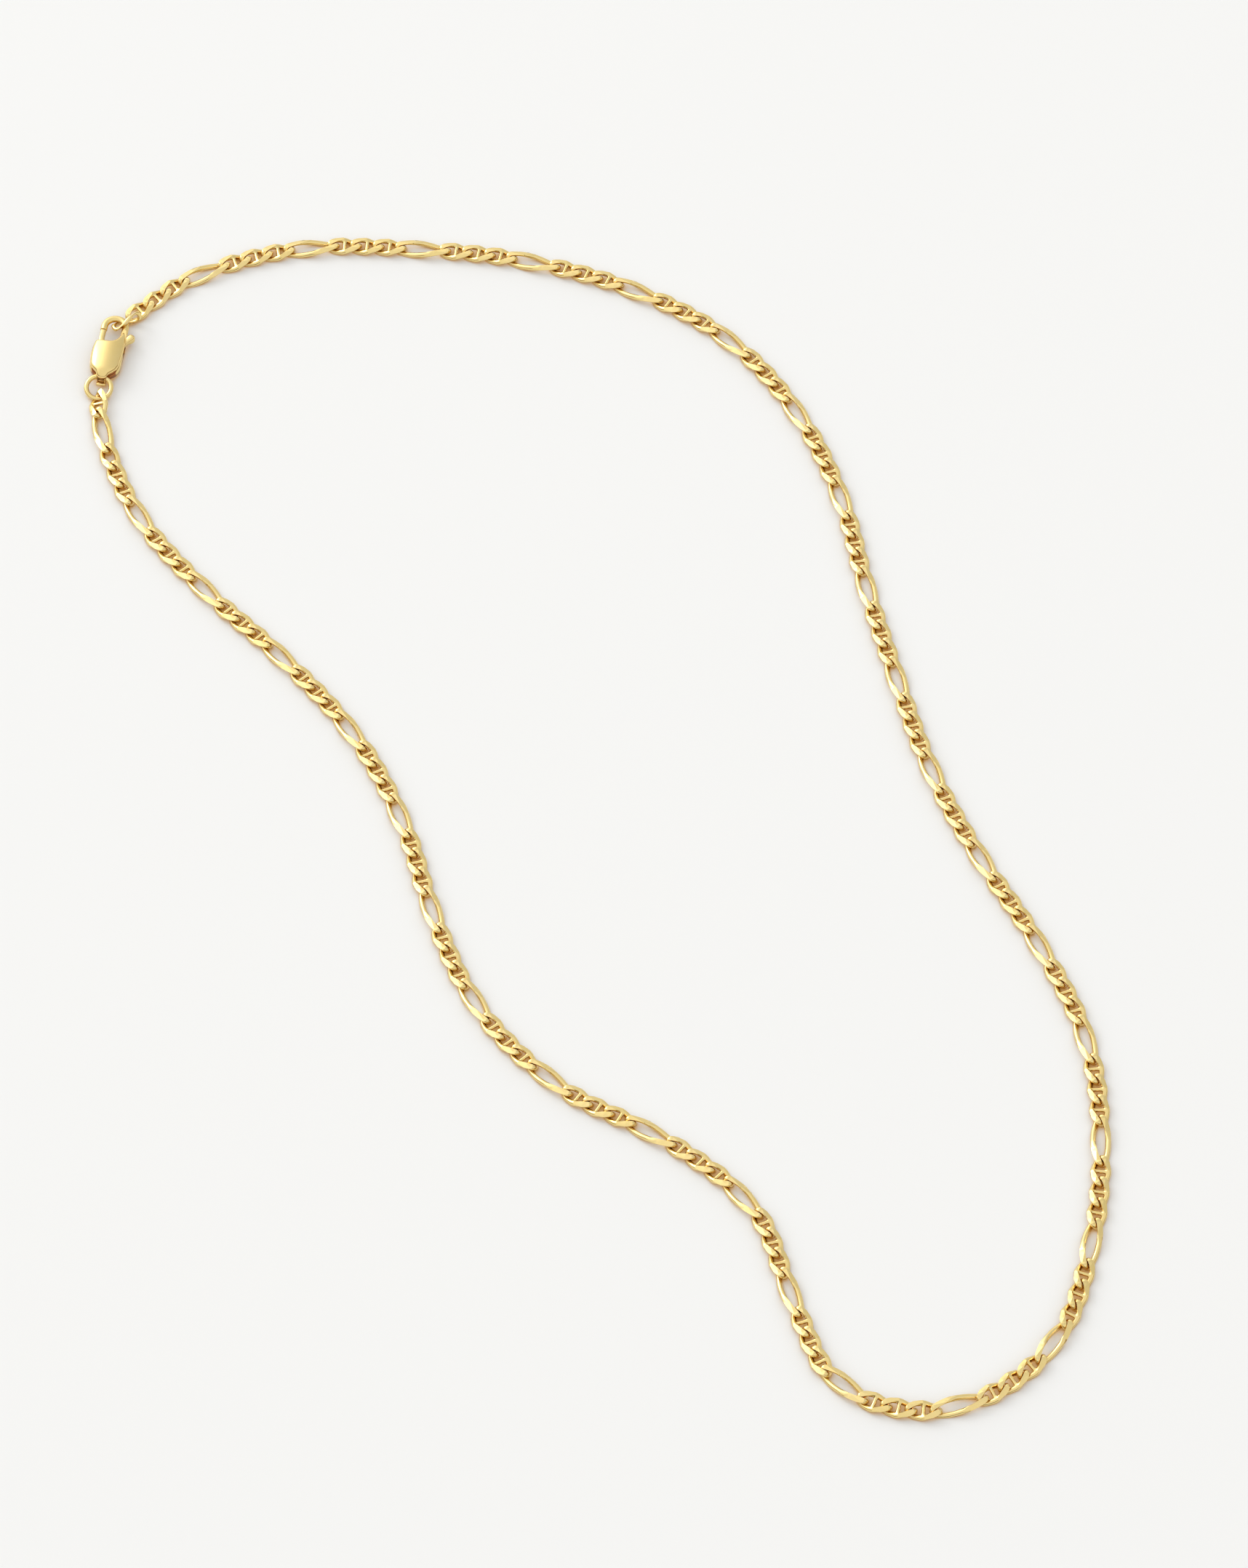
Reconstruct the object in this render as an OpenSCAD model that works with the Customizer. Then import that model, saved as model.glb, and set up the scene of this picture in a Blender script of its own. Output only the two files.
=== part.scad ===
// Barred figaro neck chain lying in a free loop, with a trigger clasp hooked on its end ring.
// Millimetres. X runs to the right, Y away from the viewer, Z up, and the loop lies on Z = 0.

/* [Chain] */
// Width of the chain over both rails of a link
chain_w = 2.7; // [2.65:0.05:2.8]
// Height of the chain between its ground top and bottom
chain_h = 1.2; // [1.15:0.05:1.3]
// Radius of the wire before its faces are ground
wire_r = 0.32; // [0.3:0.01:0.33]
// Distance from joint to joint of a short link
short_pitch = 3.1; // [3.05:0.05:3.2]
// Distance from joint to joint of a long link
long_pitch = 6.1; // [5.9:0.1:6.2]
// Free play between the wires of two hooked links
joint_play = 0.22; // [0.18:0.02:0.24]
// Twist of a link end out of the flat
end_twist = 52; // [50:1:54]

/* [Ground faces] */
// Half width of the flat ground along the middle of the chain
flat_half = 0.45; // [0.35:0.05:0.6]
// Slope of the ground faces beside the flat
bevel_angle = 26; // [20:1:30]

/* [Cross bars] */
// Width of the bar across a short link
bar_w = 0.5; // [0.4:0.05:0.6]
// Place of the one short link that has lost its bar, counted from the end ring
plain_short = 122; // [1, 61, 122]

/* [Rings] */
// Radius of the wire of the oval ring on the free end
end_wire_r = 0.28; // [0.24:0.01:0.3]
// Radius of the wire of the jump ring
ring_wire_r = 0.28; // [0.26:0.01:0.3]
// Radius of the jump ring at the middle of the wire
ring_r = 1.65; // [1.6:0.05:1.7]

/* [Clasp] */
// Length of the clasp over its hook
clasp_len = 11; // [10.9:0.1:11.2]
// Width of the clasp body
clasp_w = 4; // [3.9:0.1:4.2]
// Thickness of the clasp body at its crown
clasp_t = 2.6; // [2.5:0.1:2.8]
// Thickness of the clasp body at its side edges
clasp_edge_t = 1.7; // [1.6:0.1:1.9]
// Radius of the hook wire
hook_wire_r = 0.42; // [0.38:0.02:0.44]
// Thickness of the lever
lever_t = 0.8; // [0.7:0.05:0.85]
// Width of the gate that closes the hook
gate_w = 0.75; // [0.65:0.05:0.8]
// Radius of the pin that the lever turns on
pin_r = 0.4; // [0.35:0.05:0.45]
// Height of the thumb tab
tab_t = 1.2; // [1:0.1:1.3]

/* [Hidden] */
$fn = 96;

gold = "#dcb566";
pale_gold = "#e8c983";

// Middle line of the chain on the table, from the end ring round to the jump ring.
// Columns: x, y
route = [
    [-62, 80.4],
    [-53, 87.6],
    [-38.9, 92.2],
    [-23.5, 92.1],
    [-8.5, 90.1],
    [6.6, 85],
    [19.5, 76.5],
    [28.7, 64.1],
    [34.5, 49.7],
    [37.6, 35.1],
    [41.4, 20.2],
    [45.7, 5.2],
    [51.7, -8.5],
    [59, -22],
    [64.9, -36.7],
    [66.4, -52.1],
    [64.7, -68],
    [59.3, -83.2],
    [46.6, -92.3],
    [32.8, -89.4],
    [26.8, -76.9],
    [22, -62.9],
    [10.9, -52.6],
    [-2.7, -44.6],
    [-13.2, -32.9],
    [-19.3, -18.7],
    [-23.7, -3.3],
    [-30.4, 10.8],
    [-40.1, 23.2],
    [-50.8, 34.4],
    [-60.1, 46.7],
    [-65.4, 60.4],
    [-65.9, 66.8]
];
route_steps = 12;

// Links of the chain: three short ones, then a long one, over and over
link_count = 125;
half_way = 62;

// How far joints sit ahead of an even spread along the walk. Columns: joint, length
slack = [
    [0, 0],
    [14, -0.11],
    [28, -0.4],
    [42, -0.51],
    [56, -0.44],
    [66, -0.05],
    [76, 0.47],
    [86, 0.62],
    [96, 0.7],
    [106, 0.77],
    [116, 0.07],
    [125, 0]
];

// How far links lean about the chain, between the links that are named.
// Columns: link, degrees
leans = [
    [0, 0],
    [60, 0],
    [67, -9],
    [74, -9],
    [80, 0],
    [122, 0],
    [123, -6],
    [124, -24]
];

// Corners of a link round its middle line, and of its wire
wire_sides = 6;
long_corners = [0, 36, 75, 105, 144];
short_corner = 44;
short_power = 3.2;
long_power = 3.8;
slope_step = 0.5;
core_depth = 0.17;

// Clasp: places in its own frame, X across, Y from its ring end to the top of the hook
clasp_at = [-65.63, 68.95];
clasp_turn = -8;
body_half = clasp_w / 2;

// Hook of the clasp, with the straight wire at its root and its tip
hook_r = 1.45;
hook_at = [0.25, clasp_len - hook_r - hook_wire_r];
root_y = 8.3;
tip_y = 7.9;

// Outline of the body: a round end with a lip, and above it the bowed sides up to the left shoulder
// and to the right horn, which runs up into the hook. Columns: x, y
end_y = 2.12;
lip_half = 0.6;
side_shape = [
    [-body_half, end_y],
    [-2.12, 4.1],
    [-1.97, 6.1],
    [0.4, 6.15],
    [0.9, 6.55],
    [1.25, 7.2],
    [1.35, 8.8],
    [2.05, 8.8],
    [2.18, 6.6],
    [2.2, 5],
    [body_half, end_y]
];

// Crown of the body across, and along it about its crest
crown_sag = (clasp_t - clasp_edge_t) / 2;
crest_y = 4.2;
crest_half = 4.6;
crest_sag = 0.35;
crest_rise = 0.03;

// Slot in the round end for the jump ring, with the thin lip that closes it
lip_t = 0.2;
slot_top = 1.5;
slot_h = 1.2;

// Lever: its pivot, boss and play, and how far its gate reaches
pivot = [0.25, 4.3];
boss_r = 0.95;
lever_gap = 0.1;
boss_gap = 0.15;
pin_gap = 0.04;
pin_h = 2;
gate_reach = 4.35;
tip_gap = 0.1;
gate_x = -1.6;
tab_at = [2.78, 7.5];
tab_r = 0.48;

// Outlines of the room in the body, of the gate and of the arm of the thumb tab. Columns: x, y
room_shape = [
    [-2.6, 4.6],
    [-0.7, 3.6],
    [1.2, 3.6],
    [3, 5.3],
    [3, root_y],
    [0.7, root_y],
    [0.2, 7.5],
    [-2.6, 7.5]
];
gate_shape = [
    [gate_x, 9],
    [gate_x + gate_w, 9],
    [gate_x + gate_w + 0.1, 6.6],
    [0.25, 5.2],
    [0.6, 4.3],
    [-0.7, 4.2],
    [gate_x, 5.8]
];
arm_shape = [
    [-0.2, 4.3],
    [1.2, 4.3],
    [2.5, 6.5],
    [3.1, 7.2],
    [2.6, 7.8],
    [1.7, 7.3],
    [0.25, 5.2]
];

// Rings. Columns: middle of the ring, the way it points on the table, its rise along that way
// and its roll about it
end_ring_pose = [[-62.78, 78.89, 1.32], 29.2, 6.3, -61.7];
jump_ring_pose = [[-65.79, 68.08, 0.97], 92, 10, 0];

function is_long(i) = i % 4 == 3;
function has_bar(i) = !is_long(i) && i != plain_short;
function pitch(i) = is_long(i) ? long_pitch : short_pitch;
function unit(v) = v / norm(v);
function power(x, e) = sign(x) * pow(abs(x), e);

// A smooth curve through four points in a row, between the middle two
function curve(a, b, c, d, t) = 0.5 * (2 * b + (c - a) * t
    + (2 * a - 5 * b + 4 * c - d) * t * t
    + (3 * b - a - 3 * c + d) * t * t * t);

route_end = len(route) - 1;
function stop(i) = i < 0 ? 2 * route[0] - route[1]
    : i > route_end ? 2 * route[route_end] - route[route_end - 1]
    : route[i];
walk = [
    for (i = [0 : route_end - 1], k = [0 : route_steps - 1])
        curve(stop(i - 1), stop(i), stop(i + 1), stop(i + 2), k / route_steps),
    route[route_end]
];
walk_end = len(walk) - 1;

// Length of the walk up to each of its points, and x and y looked up by that length
gone = [
    for (i = 0, s = 0; i <= walk_end;
        s = s + (i < walk_end ? norm(walk[i + 1] - walk[i]) : 0), i = i + 1) s
];
x_by_length = [for (i = [0 : walk_end]) [gone[i], walk[i].x]];
y_by_length = [for (i = [0 : walk_end]) [gone[i], walk[i].y]];
function on_route(s) = [lookup(s, x_by_length), lookup(s, y_by_length)];

// Joints of the chain, spread so that the last one falls on the end of the walk, each with its slack
pitches = [for (i = 0, s = 0; i <= link_count; s = s + pitch(i), i = i + 1) s];
stretch = gone[walk_end] / pitches[link_count];
joints = [for (i = [0 : link_count]) on_route(pitches[i] * stretch + lookup(i, slack))];

// Middle line of a link: a full oval whose plane is twisted about the chain
function oval(t, half_l, half_w, e) =
    let (
        u = half_l * power(cos(t), 2 / e),
        w = half_w * power(sin(t), 2 / e),
        a = -end_twist * u / half_l
    )
    [u, w * cos(a), w * sin(a)];

// Ground faces: the direction and the distance of each
slant = [0, sin(bevel_angle), cos(bevel_angle)];
slant_reach = chain_h / 2 * cos(bevel_angle) + flat_half * sin(bevel_angle);
faces = [
    for (up = [1, -1]) [[0, 0, up], chain_h / 2],
    for (up = [1, -1], side = [1, -1]) [[0, side * slant.y, up * slant.z], slant_reach]
];

// How far the middle of the wire is drawn in from the line c, against up, so that the ground
// faces lie at least core_depth away from it
function draw_in(c, up) = max([
    0,
    for (f = faces) if (f[0] * up > 0) (core_depth - f[1] + f[0] * c) / (f[0] * up)
]);

// How far a wire of the radius r about the line c then reaches in the direction d
function reach(c, shift, d, r) = min([
    sqrt(r * r - shift * shift + (shift * d) * (shift * d)) - shift * d,
    for (f = faces) if (f[0] * d > 0) (f[1] - f[0] * (c + shift)) / (f[0] * d)
]);

// Corners of a wire of the radius r round one place of the middle line
function section(t, half_l, half_w, e, r) =
    let (
        c = oval(t, half_l, half_w, e),
        along = oval(t + slope_step, half_l, half_w, e) - oval(t - slope_step, half_l, half_w, e),
        out = unit(cross(along, [0, 0, 1])),
        up = unit(cross(out, along)),
        outward = c.z < 0 ? -up : up,
        shift = -draw_in(c, outward) * outward
    )
    [
        for (k = [0 : wire_sides - 1])
            let (a = k * 360 / wire_sides, d = cos(a) * out + sin(a) * up)
            c + shift + reach(c, shift, d, r) * d
    ];

// Where the corners of a link stand; the bar of a short link sits between the middle two
function bar_turn(half_l) = asin(pow(bar_w / 2 / half_l, short_power / 2));
function corners(i, half_l) =
    let (
        q = bar_turn(half_l),
        half = is_long(i) ? long_corners : [0, short_corner, 90 - q, 90 + q, 180 - short_corner]
    )
    [for (turn = [0, 180], t = half) t + turn];

// Points of a link about its own middle, for a given distance between its joints
function own_points(i, reach_l, r = wire_r) =
    let (
        half_l = reach_l / 2 + r + joint_play / 2,
        half_w = chain_w / 2 - r,
        e = is_long(i) ? long_power : short_power
    )
    [for (t = corners(i, half_l), p = section(t, half_l, half_w, e, r)) p];

// A link leans about the chain; this turns a point of it and finds how far it then reaches down
function leaned(p, a) = [p.x, p.y * cos(a) - p.z * sin(a), p.y * sin(a) + p.z * cos(a)];
function lean(i) = lookup(i, leans);
function depth(i) = -min([for (p = own_points(i, pitch(i))) leaned(p, lean(i)).z]);
depths = [for (i = [0 : link_count - 1]) depth(i)];

// Joints in space, each as high as the deeper of its two links needs
joint_places = [
    for (i = [0 : link_count])
        [joints[i].x, joints[i].y, max(depths[max(i - 1, 0)], depths[min(i, link_count - 1)])]
];

// Points of a link in the chain, laid from joint to joint
function link_points(i) =
    let (
        a = joint_places[i],
        b = joint_places[i + 1],
        way = unit(b - a),
        side = unit([-way.y, way.x, 0]),
        up = cross(way, side),
        mid = (a + b) / 2
    )
    [
        for (p = own_points(i, norm(b - a)))
            let (q = leaned(p, lean(i)))
            mid + q.x * way + q.y * side + q.z * up
    ];

// Faces of a link: the skin of the wire, and for a barred one the bar between its rails. The bar
// joins two stations of one rail, from rail_a on, with two of the other, on the inner corners
stations = 10;
rail_a = 2;
rail_b = 7;
inner_sides = [2, 3];
inner_end = 4;
function corner_no(s, k) = (s % stations) * wire_sides + k % wire_sides;
function side_between(s, t, k) = [
    corner_no(s, k), corner_no(s, k + 1), corner_no(t, k + 1), corner_no(t, k)
];
function under_bar(s, k) = (s == rail_a || s == rail_b) && (k == inner_sides[0] || k == inner_sides[1]);
function link_sides(barred) = [
    for (s = [0 : stations - 1], k = [0 : wire_sides - 1]) if (!(barred && under_bar(s, k)))
        side_between(s, s + 1, k),
    if (barred) for (k = inner_sides) each [
        side_between(rail_a, rail_b + 1, k),
        side_between(rail_b, rail_a + 1, k)
    ],
    if (barred) for (k = [inner_sides[0]])
        [corner_no(rail_a + 1, k), corner_no(rail_a, k), corner_no(rail_b + 1, k), corner_no(rail_b, k)],
    if (barred) for (k = [inner_end])
        [corner_no(rail_a, k), corner_no(rail_a + 1, k), corner_no(rail_b, k), corner_no(rail_b + 1, k)]
];

// Each four-cornered side as two triangles
function link_faces(barred) = [
    for (q = link_sides(barred)) each [[q[0], q[1], q[2]], [q[0], q[2], q[3]]]
];

// A run of links, each a closed shape of its own, hooked through its neighbours
module links(first, last) {
    points_each = stations * wire_sides;
    polyhedron(
        points = [for (i = [first : last]) each link_points(i)],
        faces = [
            for (i = [first : last], f = link_faces(has_bar(i)))
                [for (n = f) n + (i - first) * points_each]
        ]
    );
}

// Stretch of the chain from the end ring over the far side of the loop
module chain_far() {
    color(gold) links(0, half_way - 1);
}

// Stretch of the chain over the near side of the loop up to the jump ring
module chain_near() {
    color(gold) links(half_way, link_count - 1);
}

module posed(pose) {
    translate(pose[0])
        rotate([0, 0, pose[1]])
            rotate([0, -pose[2], 0])
                rotate([pose[3], 0, 0])
                    children();
}

// Oval ring on the free end of the chain, held in the hook: a link without a bar
module end_ring() {
    color(gold) posed(end_ring_pose)
        polyhedron(points = own_points(plain_short, short_pitch, end_wire_r), faces = link_faces(false));
}

// Round ring between the clasp and the last link
module jump_ring() {
    color(pale_gold) posed(jump_ring_pose) rotate_extrude() translate([ring_r, 0]) circle(ring_wire_r);
}

// Puts a shape of the clasp in its place on the table
module in_clasp() {
    translate([clasp_at.x, clasp_at.y, clasp_t / 2]) rotate([0, 0, clasp_turn]) children();
}

// A round bar along Y of the clasp
module along_y(from, to, x, r) {
    translate([x, from, 0]) rotate([-90, 0, 0]) cylinder(h = to - from, r = r);
}

// A plate of the clasp, as thick as it is given and level with its middle
module plate(h) {
    translate([0, 0, -h / 2]) linear_extrude(h) children();
}

// Bore for the pin, or a disc of the radius that the gate's tip runs on
module about_pivot(r) {
    translate(pivot) circle(r);
}

// Outline of the clasp body
module body_outline() {
    translate([0, end_y]) circle(body_half);
    translate([-lip_half, 0]) square([2 * lip_half, end_y]);
    polygon(side_shape);
}

// Rise of a crown over a width gives the radius of its arc
function arc_r(half, sag) = (half * half + sag * sag) / (2 * sag);

// Upper limit of the body: crowned across and a little along, with the second crest just higher
module crown() {
    across_r = arc_r(body_half, crown_sag);
    along_r = arc_r(crest_half, crest_sag);
    intersection() {
        translate([0, 0, clasp_t / 2 - across_r]) along_y(-1, clasp_len, 0, across_r);
        translate([-clasp_w, crest_y, clasp_t / 2 + crest_rise - along_r])
            rotate([0, 90, 0]) cylinder(h = 2 * clasp_w, r = along_r, $fn = 200);
    }
}

// Pillow of the clasp body, the same above and below
module pillow() {
    intersection() {
        plate(2 * clasp_t) body_outline();
        crown();
        mirror([0, 0, 1]) crown();
    }
}

// Hook: a bent wire from the top of the right horn round to a short tip over the gate
module hook() {
    translate([hook_at.x, hook_at.y, 0]) rotate_extrude(angle = 180)
        translate([hook_r, 0]) circle(hook_wire_r);
    along_y(root_y, hook_at.y, hook_at.x + hook_r, hook_wire_r);
    along_y(tip_y, hook_at.y, hook_at.x - hook_r, hook_wire_r);
}

// Room for the lever between the two cheeks of the body
module lever_room() {
    plate(lever_t + 2 * lever_gap) {
        about_pivot(boss_r + boss_gap);
        polygon(room_shape);
    }
}

// Slot for the jump ring, with a notch at each side of the lip
module ring_slot() {
    plate(slot_h) {
        translate([-clasp_w, lip_t]) square([2 * clasp_w, slot_top - lip_t]);
        for (side = [0, 1]) mirror([side, 0]) translate([lip_half, -lip_t]) square([clasp_w, slot_top]);
    }
}

// Body of the clasp with its hook, in one piece
module clasp_body() {
    color(pale_gold) in_clasp() difference() {
        union() {
            pillow();
            hook();
        }
        lever_room();
        ring_slot();
        plate(pin_h) about_pivot(pin_r + pin_gap);
        plate(pin_h) intersection() {
            about_pivot(gate_reach + tip_gap);
            translate([hook_at.x - 2 * hook_r, root_y - gate_w]) square([2 * hook_r - gate_w, hook_r]);
        }
    }
}

// Lever: a gate that closes the hook, a boss on the pin and a thumb tab at the right
module clasp_lever() {
    color(pale_gold) in_clasp() difference() {
        union() {
            plate(lever_t) intersection() {
                union() {
                    about_pivot(boss_r);
                    polygon(gate_shape);
                    polygon(arm_shape);
                }
                about_pivot(gate_reach);
            }
            plate(tab_t) translate(tab_at) circle(tab_r);
        }
        plate(pin_h) about_pivot(pin_r + pin_gap);
    }
}

// Pin that holds the lever between the cheeks
module lever_pin() {
    color(pale_gold) in_clasp() plate(pin_h - 2 * pin_gap) about_pivot(pin_r);
}

chain_far();
chain_near();
end_ring();
jump_ring();
clasp_body();
clasp_lever();
lever_pin();
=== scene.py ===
import math
import bpy
import numpy as np
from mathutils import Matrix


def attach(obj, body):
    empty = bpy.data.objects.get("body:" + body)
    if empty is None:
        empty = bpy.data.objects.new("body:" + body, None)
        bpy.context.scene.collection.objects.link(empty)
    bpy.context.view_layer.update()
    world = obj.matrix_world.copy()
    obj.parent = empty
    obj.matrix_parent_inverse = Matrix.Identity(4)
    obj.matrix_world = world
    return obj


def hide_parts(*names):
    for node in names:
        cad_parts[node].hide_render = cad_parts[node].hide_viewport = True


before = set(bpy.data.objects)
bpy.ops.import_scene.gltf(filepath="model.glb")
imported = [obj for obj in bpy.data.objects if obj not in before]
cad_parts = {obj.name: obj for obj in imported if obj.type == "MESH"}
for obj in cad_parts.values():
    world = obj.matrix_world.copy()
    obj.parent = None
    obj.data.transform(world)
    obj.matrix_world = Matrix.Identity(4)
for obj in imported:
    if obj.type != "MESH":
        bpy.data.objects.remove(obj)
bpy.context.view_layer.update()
print("frame loaded:", len(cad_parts), "nodes")

mm = 0.001


weldParts = 1e8  # points that agree to one part in this of a metre are one


# Vertices and four-sided faces into a mesh object; creases is a list of vertex pairs that stay sharp
def addSurface(name, verts, faces, body, material, creases=None):
    # Points that coincide, as at a pole, become one, and faces lose the corners that they repeat
    _, first, index = np.unique(np.round(verts * weldParts), axis=0, return_index=True, return_inverse=True)
    index = index.reshape(-1)
    verts, faces = verts[first], index[faces]
    keep = faces != np.roll(faces, -1, axis=1)
    whole = keep.sum(axis=1) > 2
    corners, sizes = faces[whole][keep[whole]], keep[whole].sum(axis=1)
    mesh = bpy.data.meshes.new(name)
    mesh.vertices.add(len(verts))
    mesh.vertices.foreach_set("co", np.ascontiguousarray(verts, dtype=np.float32).ravel())
    mesh.loops.add(len(corners))
    mesh.loops.foreach_set("vertex_index", np.ascontiguousarray(corners, dtype=np.int32))
    mesh.polygons.add(len(sizes))
    mesh.polygons.foreach_set("loop_start", (np.cumsum(sizes) - sizes).astype(np.int32))
    mesh.update(calc_edges=True)
    mesh.validate()
    mesh.shade_smooth()
    if creases is not None:
        ends = np.empty(len(mesh.edges) * 2, dtype=np.int32)
        mesh.edges.foreach_get("vertices", ends)
        pairKey = lambda p: p.min(axis=1).astype(np.int64) * len(verts) + p.max(axis=1)
        isSharp = np.isin(pairKey(ends.reshape(-1, 2)), pairKey(index[creases]))
        mesh.attributes.new("sharp_edge", "BOOLEAN", "EDGE").data.foreach_set("value", isSharp)
    piece = bpy.data.objects.new(name, mesh)
    bpy.context.scene.collection.objects.link(piece)
    mesh.materials.append(material)
    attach(piece, body)
    return piece


# Faces of a grid of rows by columns that closes on itself in both directions or only one
def gridFaces(rows, cols, closeRows=True, closeCols=True):
    r = np.arange(rows if closeRows else rows - 1)[:, None]
    c = np.arange(cols if closeCols else cols - 1)[None, :]
    r2, c2 = (r + 1) % rows, (c + 1) % cols
    corners = [r * cols + c, r2 * cols + c, r2 * cols + c2, r * cols + c2]
    return np.stack([np.broadcast_to(k, (r.size, c.size)) for k in corners], axis=-1).reshape(-1, 4)


def unit(v):
    return v / np.linalg.norm(v, axis=-1, keepdims=True)


# Cosines or sines of a circle into those of a full oval; the higher the power, the squarer it is
def full(x, power):
    return np.sign(x) * np.abs(x) ** (2 / power)


# The rim of a grid, once round
def rimOf(grid):
    return np.concatenate([grid[0, :-1], grid[:-1, -1], grid[-1, :0:-1], grid[:0:-1, 0]])


# Walks a smooth curve through the rows of a table, each piece a cubic of the four rows about it
def walkThrough(table, steps):
    p = np.array(table, dtype=float)
    p = np.vstack([2 * p[0] - p[1], p, 2 * p[-1] - p[-2]])
    a, b, c, d = (p[i : len(p) - 3 + i, None] for i in range(4))
    t = (np.arange(steps) / steps)[None, :, None]
    walk = 0.5 * (2 * b + (c - a) * t + (2 * a - 5 * b + 4 * c - d) * t**2 + (3 * b - a - 3 * c + d) * t**3)
    return np.vstack([walk.reshape(-1, p.shape[1]), p[-2]])


# Length walked so far at each point of a walk
def lengthsOf(walk):
    return np.concatenate([[0], np.cumsum(np.linalg.norm(np.diff(walk, axis=0), axis=1))])


# A math node whose inputs are numbers or other nodes' outputs
def mathNode(tree, operation, *given):
    node = tree.nodes.new("ShaderNodeMath")
    node.operation = operation
    for socket, value in zip(node.inputs, given):
        if isinstance(value, (int, float)):
            socket.default_value = value
        else:
            tree.links.new(value, socket)
    return node.outputs[0]


# A mix of two colours by a factor; each is a colour or another node's output
def mixNode(tree, factor, first, second):
    node = tree.nodes.new("ShaderNodeMix")
    node.data_type = "RGBA"
    tree.links.new(factor, node.inputs["Factor"])
    for label, value in (("A", first), ("B", second)):
        if isinstance(value, tuple):
            node.inputs[label].default_value = value
        else:
            tree.links.new(value, node.inputs[label])
    return node.outputs["Result"]


# World: a pale tent over a dim warm surround, with soft lobes; a lobe is x, y, z, strength, sharpness
studio = {
    "tint": (1.0, 0.995, 0.985),
    "surroundTint": (1.0, 0.70, 0.42),
    "surround": 0.24,
    "tent": 0.95,
    "backLift": 0.5,
    "riseFrom": 0.10,
    "riseTo": 0.42,
    "lobeOnTable": 0.45,
    "lobes": [
        (-0.63, 0.57, 0.53, 2.0, 8.0),
        (0.63, 0.57, 0.53, -0.25, 4.0),
        (0.0, -1.0, 0.12, -0.27, 14.0),
    ],
}


def makeWorld(s):
    world = bpy.data.worlds.new("studio")
    bpy.context.scene.world = world
    world.use_nodes = True
    nodes, links = world.node_tree.nodes, world.node_tree.links
    background = nodes["Background"]
    coord = nodes.new("ShaderNodeTexCoord")
    split = nodes.new("ShaderNodeSeparateXYZ")
    links.new(coord.outputs["Generated"], split.inputs[0])
    rise = nodes.new("ShaderNodeMapRange")
    rise.interpolation_type = "SMOOTHSTEP"
    rise.inputs["From Min"].default_value = s["riseFrom"]
    rise.inputs["From Max"].default_value = s["riseTo"]
    # The back stays bright down to the table: height plus a share of the way to the back
    back = mathNode(world.node_tree, "MAXIMUM", split.outputs["Y"], 0.0)
    lifted = mathNode(world.node_tree, "MULTIPLY_ADD", back, s["backLift"], split.outputs["Z"])
    links.new(lifted, rise.inputs["Value"])
    color = mixNode(world.node_tree, rise.outputs["Result"], (*s["surroundTint"], 1), (*s["tint"], 1))
    gain = s["tent"] - s["surround"]
    total = mathNode(world.node_tree, "MULTIPLY_ADD", rise.outputs["Result"], gain, s["surround"])
    # The lobes are seen in the gold in full, and light the table by a share
    path = nodes.new("ShaderNodeLightPath")
    seen = nodes.new("ShaderNodeMapRange")
    seen.inputs["To Min"].default_value = s["lobeOnTable"]
    links.new(path.outputs["Is Glossy Ray"], seen.inputs["Value"])
    for x, y, z, strength, sharp in s["lobes"]:
        dot = nodes.new("ShaderNodeVectorMath")
        dot.operation = "DOT_PRODUCT"
        dot.inputs[1].default_value = tuple(unit(np.array([x, y, z])))
        links.new(coord.outputs["Generated"], dot.inputs[0])
        ahead = mathNode(world.node_tree, "MAXIMUM", dot.outputs["Value"], 0.0)
        lobe = mathNode(world.node_tree, "POWER", ahead, sharp)
        share = mathNode(world.node_tree, "MULTIPLY", lobe, seen.outputs["Result"])
        total = mathNode(world.node_tree, "MULTIPLY_ADD", share, strength, total)
    links.new(color, background.inputs["Color"])
    links.new(total, background.inputs["Strength"])


makeWorld(studio)

# Camera at the photo's angle: a long lens well back, its frame 2156 by 1716 with the long side up
view = {
    "lookAt": (5.3, 3.3, 0.0),
    "elevation": 55.5,
    "distance": 1161.7,
    "lens": 202.5,
    "sensor": 36,
    "clip": (0.01, 10),
}


def makeCamera(v):
    data = bpy.data.cameras.new("camera")
    camera = bpy.data.objects.new("camera", data)
    bpy.context.scene.collection.objects.link(camera)
    up = math.radians(v["elevation"])
    back = np.array([0, -math.cos(up), math.sin(up)])
    camera.location = (np.array(v["lookAt"]) + v["distance"] * back) * mm
    camera.rotation_euler = (math.pi / 2 - up, 0, 0)
    data.sensor_fit = "AUTO"
    data.sensor_width = v["sensor"]
    data.lens = v["lens"]
    data.clip_start, data.clip_end = v["clip"]
    bpy.context.scene.camera = camera


makeCamera(view)

# Lights: soft boxes; columns are place x, y, z in metres, size in metres, watts
softBoxes = {
    "left": ((-0.95, 0.85, 0.80), 0.5, 2.6),
}


def makeLights(boxes):
    for name, (place, size, watts) in boxes.items():
        data = bpy.data.lights.new(name, "AREA")
        data.size = size
        data.energy = watts
        light = bpy.data.objects.new(name, data)
        bpy.context.scene.collection.objects.link(light)
        light.location = place
        light.rotation_euler = (-light.location).to_track_quat("-Z", "Y").to_euler()


makeLights(softBoxes)

# Table: pale paper with a painted warm shade and a painted glow close to the gold, standing in for its contact
# shadow and the warm light the gold throws; the painted shade begins below a share of open sky
floor = {
    "size": 4.0,
    "color": (0.880, 0.886, 0.880),
    "roughness": 0.9,
    "specular": 0.2,
    "warm": (0.92, 0.60, 0.18),
    "paintedShadeReach": 0.0016,
    "paintedShadeBelow": 0.72,
    "glow": (1.0, 0.56, 0.14),
    "paintedGlowStrength": 0.17,
}


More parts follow.
